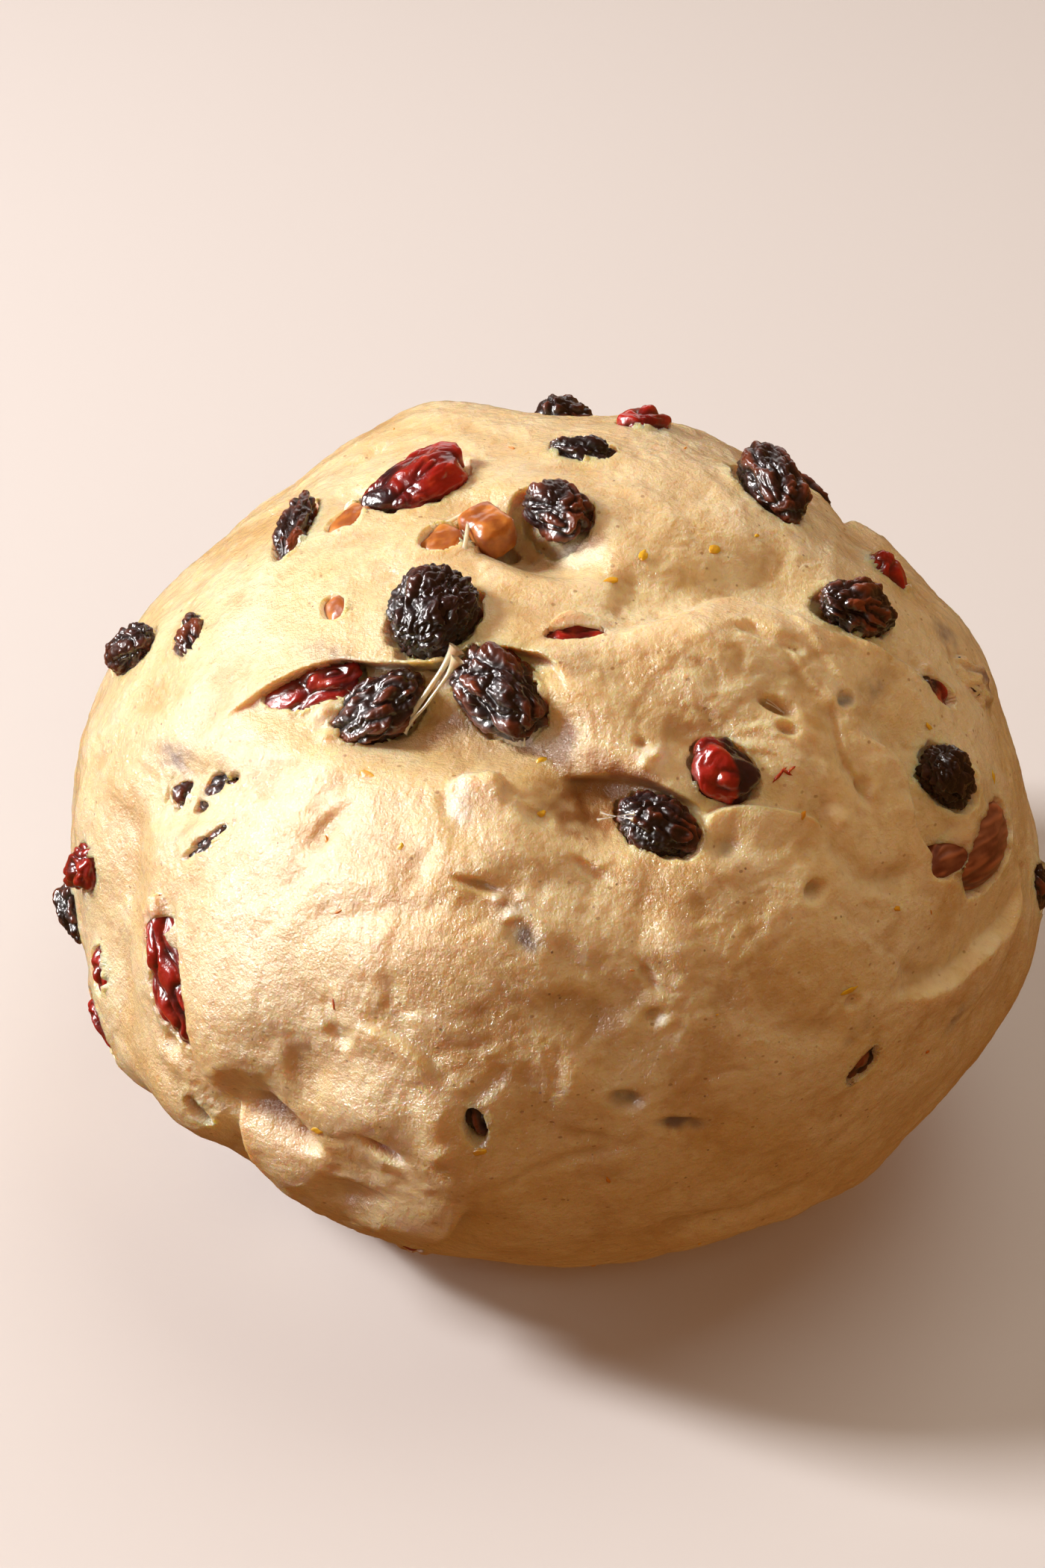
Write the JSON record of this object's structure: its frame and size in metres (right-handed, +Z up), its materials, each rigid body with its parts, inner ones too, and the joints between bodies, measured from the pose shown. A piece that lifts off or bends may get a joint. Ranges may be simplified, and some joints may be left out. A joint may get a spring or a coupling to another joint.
{
  "type": "fruit bread dough ball",
  "caption": "Round ball of raw fruit bread dough with a flat foot, folded skin, and raisins, cranberries, apricot and almond showing.",
  "frame": {"origin": "middle of the footprint, on the surface it stands on", "axes": "+Z up, -Y towards the shown front, +X to the right of someone facing the front"},
  "size_m": [0.1376, 0.1408, 0.1022],
  "materials": {
    "dough": "moist raw dough, cream to amber, half gloss",
    "raisin": "wrinkled and sticky, nearly black",
    "cranberry": "glossy dark red, folded",
    "almond": "brown striated skin",
    "apricot": "moist orange brown",
    "pale_fruit": "moist pale yellow"
  },
  "bodies": {
    "root": {"dough": "dough", "raisin_top": "raisin", "raisin_centre_right": "raisin", "raisin_centre_left": "raisin", "cranberry_centre": "cranberry", "cranberry_top": "cranberry", "raisin_upper_left": "raisin", "apricot_front": "apricot", "apricot_rear": "apricot", "raisin_upper_right": "raisin", "raisin_top_rear": "raisin", "cranberry_crest": "cranberry", "raisin_crest": "raisin", "raisin_left_small": "raisin", "raisin_left_edge": "raisin", "cranberry_slit": "cranberry", "raisin_right": "raisin", "cranberry_right_rear": "cranberry", "cranberry_right": "cranberry", "raisin_right_dark": "raisin", "raisin_black": "raisin", "cranberry_mid": "cranberry", "raisin_mid": "raisin", "almond_right": "almond", "cranberry_left": "cranberry", "raisin_left_low": "raisin", "cranberry_left_edge": "cranberry", "cranberry_low_front": "cranberry", "cranberry_low_rear": "cranberry", "raisin_web_left": "raisin", "raisin_web_right": "raisin", "raisin_slit_left": "raisin", "raisin_low": "raisin", "raisin_slit_right": "raisin", "raisin_under_left": "raisin", "cranberry_foot": "cranberry", "pale_chip": "pale_fruit", "peel_small": "apricot", "peel_top": "apricot", "raisin_edge_right": "raisin", "raisin_back_upper": "raisin", "raisin_back_high": "raisin", "cranberry_back_left": "cranberry", "almond_back": "almond", "cranberry_back_right": "cranberry", "raisin_back_left": "raisin", "raisin_back_low": "raisin", "raisin_right_low": "raisin", "cranberry_back_high": "cranberry", "raisin_back_foot": "raisin", "apricot_back": "apricot", "raisin_right_foot": "raisin", "raisin_left_rear": "raisin"}
  },
  "joints": []
}
